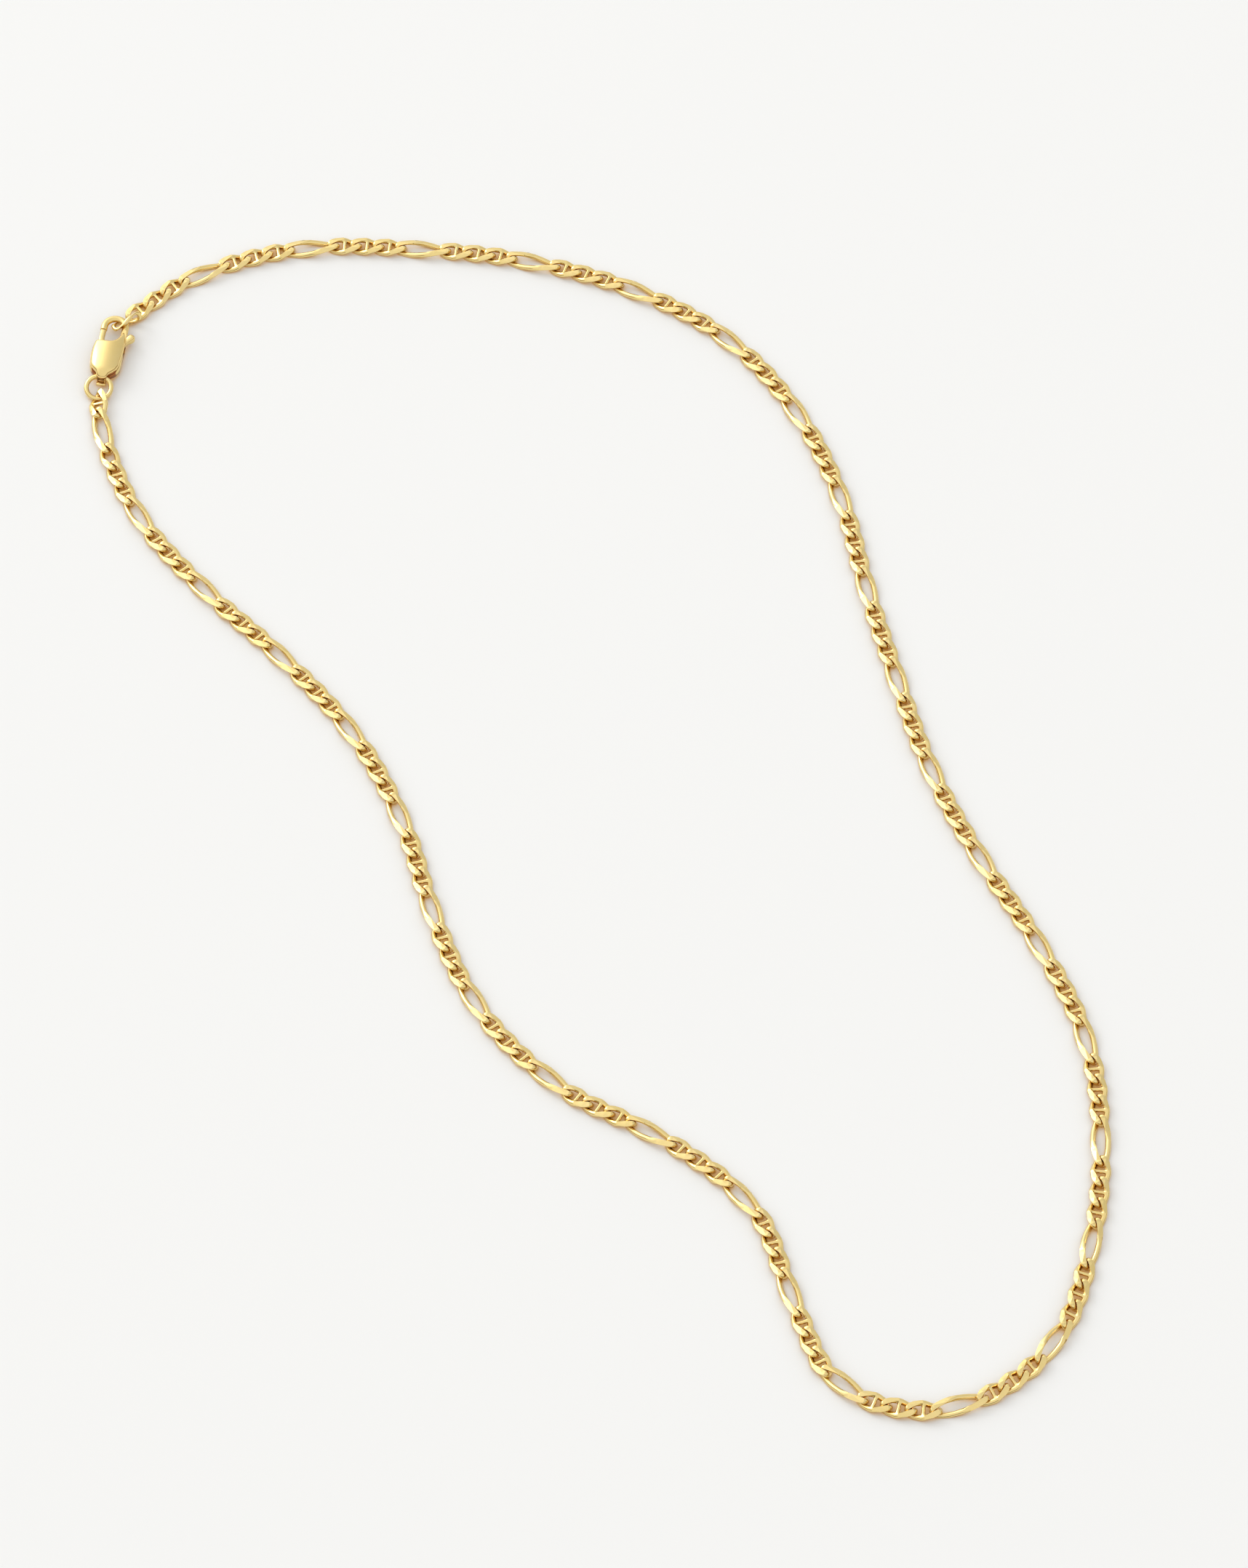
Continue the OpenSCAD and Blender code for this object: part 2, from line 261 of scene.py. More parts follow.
def makeFloor(f):
    half = f["size"] / 2
    verts = np.array([(-half, -half, 0), (half, -half, 0), (half, half, 0), (-half, half, 0)])
    mesh = bpy.data.meshes.new("floor")
    mesh.from_pydata(verts.tolist(), [], [(0, 1, 2, 3)])
    table = bpy.data.objects.new("floor", mesh)
    bpy.context.scene.collection.objects.link(table)
    material = bpy.data.materials.new("palePaper")
    material.use_nodes = True
    nodes, links = material.node_tree.nodes, material.node_tree.links
    shader = nodes["Principled BSDF"]
    shader.inputs["Roughness"].default_value = f["roughness"]
    shader.inputs["Specular IOR Level"].default_value = f["specular"]
    # Painted shade and glow: close to the gold, where a share of the sky is hidden nearby, the base colour turns
    # warm and the table glows, standing in for the gold's contact shadow and the warm light it throws
    near = nodes.new("ShaderNodeAmbientOcclusion")
    near.inputs["Distance"].default_value = f["paintedShadeReach"]
    sky = nodes.new("ShaderNodeMapRange")
    sky.interpolation_type = "SMOOTHSTEP"
    sky.inputs["From Max"].default_value = f["paintedShadeBelow"]
    links.new(near.outputs["AO"], sky.inputs["Value"])
    tint = mixNode(material.node_tree, sky.outputs["Result"], (*f["warm"], 1), (*f["color"], 1))
    links.new(tint, shader.inputs["Base Color"])
    # Painted glow: the table emits warm light where the sky is hidden, though nothing there is a lamp
    strength = f["paintedGlowStrength"]
    glow = mathNode(material.node_tree, "MULTIPLY_ADD", sky.outputs["Result"], -strength, strength)
    shader.inputs["Emission Color"].default_value = (*f["glow"], 1)
    links.new(glow, shader.inputs["Emission Strength"])
    mesh.materials.append(material)


makeFloor(floor)
print("camera, lights and floor made")


# Material groups
def newGroup(name, inputs, outputs):
    group = bpy.data.node_groups.new(name, "ShaderNodeTree")
    for label, kind, value in inputs:
        socket = group.interface.new_socket(label, in_out="INPUT", socket_type=kind)
        socket.default_value = value
    for label, kind in outputs:
        group.interface.new_socket(label, in_out="OUTPUT", socket_type=kind)
    return group, group.nodes.new("NodeGroupInput"), group.nodes.new("NodeGroupOutput")


# Fine polishing lines: noise stretched along one way, as a height and a change of roughness
def makePolishGroup():
    group, given, out = newGroup(
        "polishLines",
        [
            ("Line Scale", "NodeSocketFloat", 6000.0),
            ("Cloud Scale", "NodeSocketFloat", 700.0),
            ("Strength", "NodeSocketFloat", 1.0),
            ("Base Roughness", "NodeSocketFloat", 0.1),
            ("Roughness Spread", "NodeSocketFloat", 0.05),
        ],
        [("Height", "NodeSocketFloat"), ("Roughness", "NodeSocketFloat")],
    )
    nodes, links = group.nodes, group.links
    coord = nodes.new("ShaderNodeTexCoord")
    stretch = nodes.new("ShaderNodeMapping")
    stretch.inputs["Scale"].default_value = (1.0, 6.0, 3.0)
    stretch.inputs["Rotation"].default_value = (0.3, 0.2, 0.6)
    links.new(coord.outputs["Object"], stretch.inputs["Vector"])
    lines = nodes.new("ShaderNodeTexNoise")
    lines.inputs["Detail"].default_value = 3.0
    links.new(stretch.outputs["Vector"], lines.inputs["Vector"])
    links.new(given.outputs["Line Scale"], lines.inputs["Scale"])
    height = mathNode(group, "MULTIPLY", lines.outputs["Fac"], given.outputs["Strength"])
    links.new(height, out.inputs["Height"])
    clouds = nodes.new("ShaderNodeTexNoise")
    links.new(given.outputs["Cloud Scale"], clouds.inputs["Scale"])
    clouds.inputs["Detail"].default_value = 2.0
    links.new(coord.outputs["Object"], clouds.inputs["Vector"])
    spread, base = given.outputs["Roughness Spread"], given.outputs["Base Roughness"]
    links.new(mathNode(group, "MULTIPLY_ADD", clouds.outputs["Fac"], spread, base), out.inputs["Roughness"])
    return group


# Colour of plated gold: a warm body that pales where the plate is thin, with painted shade that turns it deep
# red-brown in hollows and close to other surfaces
def makeGoldGroup():
    group, given, out = newGroup(
        "goldPlate",
        [
            ("Body", "NodeSocketColor", (0.86, 0.62, 0.27, 1)),
            ("Pale", "NodeSocketColor", (0.92, 0.74, 0.42, 1)),
            ("Painted Shade", "NodeSocketColor", (0.48, 0.20, 0.04, 1)),
            ("Patch Scale", "NodeSocketFloat", 400.0),
            ("Patch Strength", "NodeSocketFloat", 0.5),
            ("Hollow From", "NodeSocketFloat", 0.49),
            ("Hollow To", "NodeSocketFloat", 0.40),
            ("Hollow Strength", "NodeSocketFloat", 0.8),
            ("Shade Reach", "NodeSocketFloat", 0.0012),
            ("Shade From", "NodeSocketFloat", 0.85),
            ("Shade To", "NodeSocketFloat", 0.30),
            ("Shade Strength", "NodeSocketFloat", 0.55),
        ],
        [("Color", "NodeSocketColor")],
    )
    nodes, links = group.nodes, group.links
    coord = nodes.new("ShaderNodeTexCoord")
    patches = nodes.new("ShaderNodeTexNoise")
    patches.inputs["Detail"].default_value = 2.0
    links.new(coord.outputs["Object"], patches.inputs["Vector"])
    links.new(given.outputs["Patch Scale"], patches.inputs["Scale"])
    amount = mathNode(group, "MULTIPLY", patches.outputs["Fac"], given.outputs["Patch Strength"])
    pale = mixNode(group, amount, given.outputs["Body"], given.outputs["Pale"])
    # Painted shade: hollows, found by their pointiness, turn deep
    hollow = nodes.new("ShaderNodeNewGeometry")
    # Painted shade: sides that face the table or another link closely turn deep too
    near = nodes.new("ShaderNodeAmbientOcclusion")
    near.samples = 8
    links.new(given.outputs["Shade Reach"], near.inputs["Distance"])
    depths = []
    for name, measure in (("Hollow", hollow.outputs["Pointiness"]), ("Shade", near.outputs["AO"])):
        depth = nodes.new("ShaderNodeMapRange")
        links.new(measure, depth.inputs["Value"])
        links.new(given.outputs[name + " From"], depth.inputs["From Min"])
        links.new(given.outputs[name + " To"], depth.inputs["From Max"])
        links.new(given.outputs[name + " Strength"], depth.inputs["To Max"])
        depths.append(depth.outputs["Result"])
    either = mathNode(group, "MAXIMUM", *depths)
    links.new(mixNode(group, either, pale, given.outputs["Painted Shade"]), out.inputs["Color"])
    return group


polishLines = makePolishGroup()
goldPlate = makeGoldGroup()


def makeGold(name, looks):
    material = bpy.data.materials.new(name)
    material.use_nodes = True
    nodes, links = material.node_tree.nodes, material.node_tree.links
    shader = nodes["Principled BSDF"]
    shader.inputs["Metallic"].default_value = 1.0
    color = nodes.new("ShaderNodeGroup")
    color.node_tree = goldPlate
    polish = nodes.new("ShaderNodeGroup")
    polish.node_tree = polishLines
    for key, value in looks["plate"].items():
        color.inputs[key].default_value = value
    for key, value in looks["polish"].items():
        polish.inputs[key].default_value = value
    bump = nodes.new("ShaderNodeBump")
    bump.inputs["Distance"].default_value = looks["bumpDepth"]
    links.new(color.outputs["Color"], shader.inputs["Base Color"])
    links.new(polish.outputs["Roughness"], shader.inputs["Roughness"])
    links.new(polish.outputs["Height"], bump.inputs["Height"])
    links.new(bump.outputs["Normal"], shader.inputs["Normal"])
    return material


chainLooks = {
    "plate": {"Body": (0.87, 0.665, 0.245, 1), "Pale": (0.92, 0.77, 0.45, 1), "Patch Strength": 0.5},
    "polish": {"Base Roughness": 0.09, "Roughness Spread": 0.08, "Strength": 1.0},
    "bumpDepth": 0.000002,
}
claspLooks = {
    "plate": {"Body": (0.84, 0.63, 0.235, 1), "Pale": (0.88, 0.71, 0.36, 1), "Patch Strength": 0.6},
    "polish": {"Base Roughness": 0.13, "Roughness Spread": 0.10, "Strength": 1.0},
    "bumpDepth": 0.000002,
}
# Painted shade: a dark copy of the clasp's gold for the hollow at the ring end
paintedShadeLooks = {
    **claspLooks,
    "plate": {"Body": (0.34, 0.12, 0.04, 1), "Pale": (0.42, 0.17, 0.06, 1), "Patch Strength": 0.6},
}
chainGold = makeGold("chainGold", chainLooks)
claspGold = makeGold("claspGold", claspLooks)
paintedShadeGold = makeGold("paintedShadeGold", paintedShadeLooks)
print("materials made")

# Chain; the route's columns are x and y in millimetres, from the end ring round to the jump ring
chain = {
    "width": 2.7,
    "height": 1.14,
    "wireRadius": 0.38,
    "shortPitch": 3.1,
    "longPitch": 6.1,
    "play": 0.22,
    "endTwist": 52.0,
    "flatHalf": 0.6,
    "bevelAngle": 21.0,
    "shortPower": 2.3,
    "longPower": 2.6,
    "barWidth": 0.5,
    "links": 125,
    "halfWay": 62,
    "routeSteps": 12,
    "barless": 122,
    "stations": 48,
    "innerArc": 7,
    "outerArc": 5,
    "barRings": 7,
    "barRows": 2,
    "barPower": 6,
    "barEase": 0.9,
    "endGather": 0.16,
    "sharpFrom": 0.12,
    "leans": [(0, 0), (60, 0), (67, -9), (74, -9), (80, 0), (122, 0), (123, -6), (124, -24)],
    "slack": [
        (0, 0), (14, -0.11), (28, -0.4), (42, -0.51), (56, -0.44), (66, -0.05),
        (76, 0.47), (86, 0.62), (96, 0.7), (106, 0.77), (116, 0.07), (125, 0),
    ],
    "route": [
        (-62, 80.4), (-53, 87.6), (-38.9, 92.2), (-23.5, 92.1), (-8.5, 90.1), (6.6, 85),
        (19.5, 76.5), (28.7, 64.1), (34.5, 49.7), (37.6, 35.1), (41.4, 20.2), (45.7, 5.2), (51.7, -8.5),
        (59, -22), (64.9, -36.7), (66.4, -52.1), (64.7, -68), (59.3, -83.2), (46.6, -92.3),
        (32.8, -89.4), (26.8, -76.9), (22, -62.9), (10.9, -52.6), (-2.7, -44.6), (-13.2, -32.9),
        (-19.3, -18.7), (-23.7, -3.3), (-30.4, 10.8), (-40.1, 23.2), (-50.8, 34.4), (-60.1, 46.7),
        (-65.4, 60.4), (-65.9, 66.8),
    ],
}


# Three short links and a long one, over and over
def isLong(number):
    return number % 4 == 3


# Joints between links: the walk cut at the running sum of the links' pitches, each with its slack
def placeJoints(c):
    number = np.arange(c["links"])
    pitch = np.where(isLong(number), c["longPitch"], c["shortPitch"])
    walk = walkThrough(c["route"], c["routeSteps"])
    gone = lengthsOf(walk)
    along = np.concatenate([[0], np.cumsum(pitch)])
    along = along * gone[-1] / along[-1] + np.interp(np.arange(len(along)), *zip(*c["slack"]))
    return np.stack([np.interp(along, gone, walk[:, k]) for k in (0, 1)], axis=-1)


# Middle line of a link: a full oval of u and w, turned about u as it goes
def ovalLine(turn, halfLength, halfWidth, power, twist):
    u, w = halfLength * full(np.cos(turn), power), halfWidth * full(np.sin(turn), power)
    angle = -twist * u / halfLength
    return np.stack([u, w * np.cos(angle), w * np.sin(angle)], axis=-1)


# Wire of a link: at each station a circle cut by the ground planes. The columns stand on the edges of
# the cuts and along the two arcs between them, so that every ground face is flat to its edge.
def wireSurface(c, turn, halfLength, power):
    radius, halfHeight = c["wireRadius"], c["height"] / 2
    halfWidth = c["width"] / 2 - radius
    twist, bevel = math.radians(c["endTwist"]), math.radians(c["bevelAngle"])
    step = 0.002  # radians to either side, for the way that the wire runs
    middle = ovalLine(turn, halfLength, halfWidth, power, twist)
    ahead = ovalLine(turn + step, halfLength, halfWidth, power, twist)
    behind = ovalLine(turn - step, halfLength, halfWidth, power, twist)
    along = unit(ahead - behind)
    out = unit(np.cross(along, (0, 0, 1)))
    up = np.cross(out, along)
    side = np.where(middle[:, 1] < 0, -1.0, 1.0)

    # Each plane as its direction in the section and its distance from the middle of the wire
    def planeIn(tilted, upward):
        normal = np.zeros_like(middle)
        normal[:, 2] = upward * (math.cos(bevel) if tilted else 1.0)
        normal[:, 1] = side * math.sin(bevel) if tilted else 0.0
        reach = halfHeight * math.cos(bevel) + c["flatHalf"] * math.sin(bevel) if tilted else halfHeight
        x, y = np.sum(normal * out, axis=1), np.sum(normal * up, axis=1)
        size = np.hypot(x, y)
        return np.arctan2(y, x), (reach - np.sum(normal * middle, axis=1)) / size

    # Ends of the cut towards the inside and the outside of the link, and the edge between its planes
    def cutIn(upward):
        (flatTo, flatFar), (tiltTo, tiltFar) = planeIn(False, upward), planeIn(True, upward)
        flatHalf = np.arccos(np.clip(flatFar / radius, -1, 1))
        tiltHalf = np.arccos(np.clip(tiltFar / radius, -1, 1))
        flatOr = np.where(flatHalf > 0, flatTo, tiltTo)
        tiltOr = np.where(tiltHalf > 0, tiltTo, flatOr)
        inner = upward * np.maximum(upward * flatOr + flatHalf, upward * tiltOr + tiltHalf)
        outer = upward * np.minimum(upward * flatOr - flatHalf, upward * tiltOr - tiltHalf)
        lean = np.sin(tiltTo - flatTo)
        lean = np.where(np.abs(lean) < 1e-9, 1e-9, lean)
        x = (flatFar * np.sin(tiltTo) - tiltFar * np.sin(flatTo)) / lean
        y = (tiltFar * np.cos(flatTo) - flatFar * np.cos(tiltTo)) / lean
        edge = np.clip(np.arctan2(y, x), np.minimum(inner, outer), np.maximum(inner, outer))
        meet = (np.hypot(x, y) < radius) & (flatHalf > 0) & (tiltHalf > 0)
        x, y = np.where(meet, x, radius * np.cos(edge)), np.where(meet, y, radius * np.sin(edge))
        return inner, outer, x, y, np.maximum(flatHalf, tiltHalf), np.where(meet, 1.0, 0.0)

    topIn, topOut, topX, topY, topTurn, topEdge = cutIn(1)
    lowIn, lowOut, lowX, lowY, lowTurn, lowEdge = cutIn(-1)
    inner = np.linspace(0, 1, c["innerArc"] + 2)
    outer = np.linspace(0, 1, c["outerArc"] + 2)
    innerArc = topIn[:, None] + (lowIn + 2 * np.pi - topIn)[:, None] * inner
    outerArc = lowOut[:, None] + (topOut - lowOut)[:, None] * outer
    x = np.column_stack([radius * np.cos(innerArc), lowX, radius * np.cos(outerArc), topX])
    y = np.column_stack([radius * np.sin(innerArc), lowY, radius * np.sin(outerArc), topY])
    verts = middle[:, None] + x[..., None] * out[:, None] + y[..., None] * up[:, None]

    # Columns that stand on edges, and how sharply the surface turns at each
    innerEnd = c["innerArc"] + 1
    outerEnd = innerEnd + c["outerArc"] + 3
    edgeColumns = (0, innerEnd, innerEnd + 1, innerEnd + 2, outerEnd, outerEnd + 1)
    turns = np.stack([topTurn, lowTurn, lowEdge, lowTurn, topTurn, topEdge])
    return verts, edgeColumns, turns


# A link as one closed surface; a barred one has the bar's skin run from rail to rail
def linkSurface(c, pitch, long, barred):
    halfLength = pitch / 2 + c["wireRadius"] + c["play"] / 2
    power = c["longPower"] if long else c["shortPower"]
    stations = c["stations"]
    even = np.arange(stations) / stations * 2 * np.pi
    # Stations gather a little at the ends of the link, where the wire bends most
    turn = even - c["endGather"] * np.sin(2 * even)
    barHalf = c["barRows"]
    if barred:
        quarter = stations // 4
        inside = math.asin((c["barWidth"] / 2 / halfLength) ** (power / 2))
        for at in (quarter, 3 * quarter):
            mid = at / stations * 2 * np.pi
            turn[at - barHalf : at + barHalf + 1] = mid + np.linspace(-inside, inside, 2 * barHalf + 1)
    verts, edgeColumns, turns = wireSurface(c, turn, halfLength, power)
    cols = verts.shape[1]
    faces = gridFaces(stations, cols)
    creases = []
    for column, sharp in zip(edgeColumns, turns):
        here = np.nonzero((sharp > c["sharpFrom"]) & (np.roll(sharp, -1) > c["sharpFrom"]))[0]
        creases.append(np.stack([here * cols + column, (here + 1) % stations * cols + column], axis=1))
    creases = np.concatenate(creases)
    verts = verts.reshape(-1, 3)
    if not barred:
        return verts, faces, creases

    # Cut a window into the inner side of each rail and stretch the bar between the two windows
    first, last = 2, c["innerArc"] - 2
    rows = np.arange(-barHalf, barHalf + 1)
    colsIn = np.arange(first, last + 1)

    def windowLoop(at, flip):
        r = rows[::-1] if flip else rows
        down = [(at + r[0], k) for k in colsIn]
        acrossLow = [(at + k, colsIn[-1]) for k in r[1:]]
        upAgain = [(at + r[-1], k) for k in colsIn[-2::-1]]
        acrossTop = [(at + k, colsIn[0]) for k in r[-2:0:-1]]
        return np.array([row * cols + k for row, k in down + acrossLow + upAgain + acrossTop])

    loopA = windowLoop(stations // 4, False)
    loopB = windowLoop(3 * stations // 4, True)
    row, col = np.arange(stations * cols) // cols, np.arange(stations * cols) % cols
    inWindow = np.zeros(stations * cols, dtype=bool)
    for at in (stations // 4, 3 * stations // 4):
        inWindow |= (row >= at - barHalf) & (row < at + barHalf) & (col >= first) & (col < last)
    faces = faces[~inWindow]
    a, b = verts[loopA], verts[loopB]
    share = np.linspace(0, 1, c["barRings"] + 2)[1:-1, None, None]
    line = a[None] * (1 - share) + b[None] * share
    centre = line.mean(axis=1, keepdims=True)
    spoke = line - centre
    spoke[..., 1] = 0
    wide = c["barWidth"] / 2
    roundSpoke = unit(spoke) * wide
    ease = (1 - (2 * share - 1) ** c["barPower"]) * c["barEase"]
    rings = line + (roundSpoke - spoke) * ease
    start = len(verts)
    size = len(loopA)
    ids = np.vstack([loopA, start + np.arange(c["barRings"] * size).reshape(-1, size), loopB])
    nextIds = np.roll(ids, -1, axis=1)
    bar = np.stack([ids[:-1], ids[1:], nextIds[1:], nextIds[:-1]], axis=-1).reshape(-1, 4)
    verts, faces = np.vstack([verts, rings.reshape(-1, 3)]), np.vstack([faces, bar])
    used, faces = np.unique(faces, return_inverse=True)
    return verts[used], faces.reshape(-1, 4), np.searchsorted(used, creases)


# Lays a run of links from joint to joint, each leaned about the chain and lifted to touch the table
def layChain(c, first, last):
    joints = placeJoints(c)
    number = np.arange(c["links"])
    lean = np.radians(np.interp(number, *zip(*c["leans"])))
    models = {}
    for name, long, barred in (("long", True, False), ("barred", False, True), ("plain", False, False)):
        pitch = c["longPitch"] if long else c["shortPitch"]
        models[name] = linkSurface(c, pitch, long, barred)

    def kind(i):
        return "long" if isLong(i) else "plain" if i == c["barless"] else "barred"

    def leaned(points, angle):
        y = points[:, 1] * math.cos(angle) - points[:, 2] * math.sin(angle)
        z = points[:, 1] * math.sin(angle) + points[:, 2] * math.cos(angle)
        return np.stack([points[:, 0], y, z], axis=1)

    depth = np.array([-leaned(models[kind(i)][0], lean[i])[:, 2].min() for i in number])
    height = np.maximum(np.concatenate([depth[:1], depth]), np.concatenate([depth, depth[-1:]]))
    places = np.column_stack([joints, height])
    allVerts, allFaces, allCreases, start = [], [], [], 0
    for i in range(first, last + 1):
        verts, faces, creases = models[kind(i)]
        a, b = places[i], places[i + 1]
        way = unit(b - a)
        side = unit(np.array([-way[1], way[0], 0]))
        up = np.cross(way, side)
        q = leaned(verts, lean[i])
        allVerts.append((a + b) / 2 + q[:, :1] * way + q[:, 1:2] * side + q[:, 2:] * up)
        allFaces.append(faces + start)
        allCreases.append(creases + start)
        start += len(verts)
    return np.vstack(allVerts) * mm, np.vstack(allFaces), np.vstack(allCreases)


def makeChain(c):
    for name, node, first, last in (
        ("farLinks", "chain_far", 0, c["halfWay"] - 1),
        ("nearLinks", "chain_near", c["halfWay"], c["links"] - 1),
    ):
        verts, faces, creases = layChain(c, first, last)
        piece = addSurface(name, verts, faces, "necklace", chainGold, creases)
        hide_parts(node)
        print(name, "has", len(faces), "faces")


makeChain(chain)

# Rings; pose is the middle, the way the ring points on the table, its rise along that way and its roll
rings = {
    "radius": 1.68,
    "wireRadius": 0.33,
    "turns": 96,
    "sides": 28,
    "jumpPose": ((-66.02, 67.98, 0.92), 92.0, 14.0, 0.0),
    "endPose": ((-62.55, 78.95, 1.32), 29.2, 6.3, -61.7),
    "endWireRadius": 0.3,
}


def turnAbout(axis, degrees):
    c, s = math.cos(math.radians(degrees)), math.sin(math.radians(degrees))
    i, j = [(1, 2), (2, 0), (0, 1)][axis]
    m = np.eye(3)
    m[i, i], m[i, j], m[j, i], m[j, j] = c, -s, s, c
    return m


def posed(points, pose):
    middle, way, rise, roll = pose
    return (points @ (turnAbout(2, way) @ turnAbout(1, -rise) @ turnAbout(0, roll)).T + middle) * mm


# Jump ring: a circle of the wire's radius carried round the ring; end ring: a short link without a bar
def makeRings(r, c):
    turn = np.arange(r["turns"])[:, None] / r["turns"] * 2 * np.pi
    side = np.arange(r["sides"])[None, :] / r["sides"] * 2 * np.pi
    far = r["radius"] + r["wireRadius"] * np.cos(side)
    height = np.broadcast_to(r["wireRadius"] * np.sin(side), (r["turns"], r["sides"]))
    torus = np.stack([far * np.cos(turn), far * np.sin(turn), height], axis=-1).reshape(-1, 3)
    piece = addSurface("jumpRing", posed(torus, r["jumpPose"]), gridFaces(r["turns"], r["sides"]),
                       "necklace", chainGold)
    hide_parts("jump_ring")
    thin = {**c, "wireRadius": r["endWireRadius"]}
    verts, faces, creases = linkSurface(thin, c["shortPitch"], False, False)
    piece = addSurface("endRing", posed(verts, r["endPose"]), faces, "necklace", chainGold, creases)
    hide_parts("end_ring")


makeRings(rings, chain)
print("rings made")

# Clasp, in its own frame: u across, v from its ring end to the top of the hook, w up from its middle
clasp = {
    "place": (-65.63, 68.95, 1.3),
    "turn": -8.0,
    # sides of a cheek as points u, v: bottom and top run from left to right, left and right upwards
    "bottom": [(-1.96, 2.2), (-1.72, 1.72), (-1.3, 1.25), (-0.92, 0.85), (-0.74, 0.3), (-0.1, 0.02), (0.5, 0.14),
               (0.7, 0.58), (1.1, 0.95), (1.65, 1.5), (1.98, 2.2)],
    "left": [(-1.96, 2.2), (-2.07, 3.0), (-2.13, 4.1), (-2.07, 5.2), (-1.9, 6.1)],
    "right": [(1.98, 2.2), (2.07, 3.2), (2.2, 4.8), (2.21, 6.2), (2.14, 7.4), (2.0, 8.4)],
    "top": [(-1.9, 6.1), (-1.5, 6.26), (-0.9, 6.2), (-0.2, 6.12), (0.45, 6.2), (0.95, 6.6), (1.25, 7.2),
            (1.4, 7.9), (1.5, 8.45), (1.75, 8.62), (2.0, 8.4)],
    "sideSteps": 16,
    "columns": 44,
    "rows": 60,
    "crown": 1.3,
    "crownSag": 0.42,
    "crest": 4.2,
    "crestSag": 0.07,
    "hornFrom": 6.4,
    "hornLength": 2.3,
    "hornFall": 0.36,
    "endLength": 1.6,
    "endFall": 0.55,
    "edgeRound": 0.42,
    "crowding": 0.75,
    "roomHalf": 0.5,
    # the web between the cheeks: half width, its middle, its reach down and up from there and the powers of
    # its oval there; the rows' columns are the share of u, the share of v and w
    "web": {
        "half": 2.14,
        "middle": (0.03, 2.9),
        "down": 2.26,
        "up": 2.6,
        "powers": (2.3, 7.0),
        "sides": 72,
        "rows": [
            (0, 0, 0.55), (0.93, 0.84, 0.55), (0.985, 0.985, 0.03), (1, 1, -0.1), (1, 1, -0.55), (0, 0, -0.55),
        ],
    },
    # the hollow at the ring end: a copy of the web that stands out of it, dark with painted shade where the hollow
    # lies in shade
    "hollow": {
        "half": 2.11,
        "middle": (0.03, 2.9),
        "down": 2.31,
        "up": 1.0,
        "powers": (2.3, 7.0),
        "sides": 72,
        "rows": [
            (0, 0, 0.5), (0.93, 0.86, 0.54), (0.985, 0.985, 0.02), (1, 1, -0.12), (1, 1, -0.54), (0, 0, -0.54),
        ],
    },
    # the lip under the ring's opening and the wall beside it; columns of a profile are v and w
    "lip": [(0.9, -0.55), (-0.22, -0.56), (-0.38, -0.62), (-0.43, -0.72), (-0.38, -0.82), (0.9, -0.86)],
    "lipSides": (-0.74, 0.5),
    "wall": [(0.9, 0.62), (0.35, 0.62), (0.08, 0.2), (-0.12, -0.45), (-0.05, -0.6), (0.9, -0.6)],
    "wallSides": (0.3, 0.46),
    "sideDraw": 0.92,
    "sideBevel": 0.04,
    "hookRadius": 1.45,
    "hookMiddle": (0.25, 9.13),
    "hookHalfWidth": 0.48,
    "hookHalfHeight": 0.43,
    "hookFrom": 7.4,
    "tip": 8.5,
    "hookSides": 28,
    "hookRows": 40,
    "rootRows": 8,
    "tipRows": 6,
}


def claspToWorld(k, points):
    return (points @ turnAbout(2, k["turn"]).T + k["place"]) * mm


# Places on a side of a cheek at the given shares of its length
def alongSide(k, side, shares):
    walk = walkThrough(k[side], k["sideSteps"])
    gone = lengthsOf(walk)
    return np.stack([np.interp(shares * gone[-1], gone, walk[:, i]) for i in (0, 1)], axis=-1)


# Upper face of the pillow over u and v: an arc across, a slight arc along, falling to horn and ring end
def pillowTop(k, u, v):
    fall = k["crownSag"] * (u / 2) ** 2 + k["crestSag"] * ((v - k["crest"]) / 2) ** 2
    horn = np.clip((v - k["hornFrom"]) / k["hornLength"], 0, 1)
    end = np.clip(1 - v / k["endLength"], 0, 1)
    return k["crown"] - fall - k["hornFall"] * horn**1.5 - k["endFall"] * end**2


# A prism across u whose ends are drawn in, from a profile in v and w
def prismSurface(k, profile, sides):
    profile = np.array(profile, dtype=float)[::-1]
    middle = profile.mean(axis=0)
    rows = []
    (left, right), draw, bevel = sides, k["sideDraw"], k["sideBevel"]
    for u, share in ((left, 0), (left, draw), (left + bevel, 1), (right - bevel, 1), (right, draw), (right, 0)):
        p = middle + (profile - middle) * share
        rows.append(np.column_stack([np.full(len(p), u), p]))
    return np.array(rows)


# Distance of each point from the nearest piece of a closed outline
def distanceTo(outline, points):
    a, b = outline, np.roll(outline, -1, axis=0)
    reach = b - a
    share = np.einsum("pk,sk->ps", points, reach) - np.sum(a * reach, axis=1)
    share = np.clip(share / np.maximum(np.sum(reach**2, axis=1), 1e-12), 0, 1)
    gap = points[:, None] - a - share[..., None] * reach
    return np.sqrt(np.min(np.sum(gap**2, axis=2), axis=1))


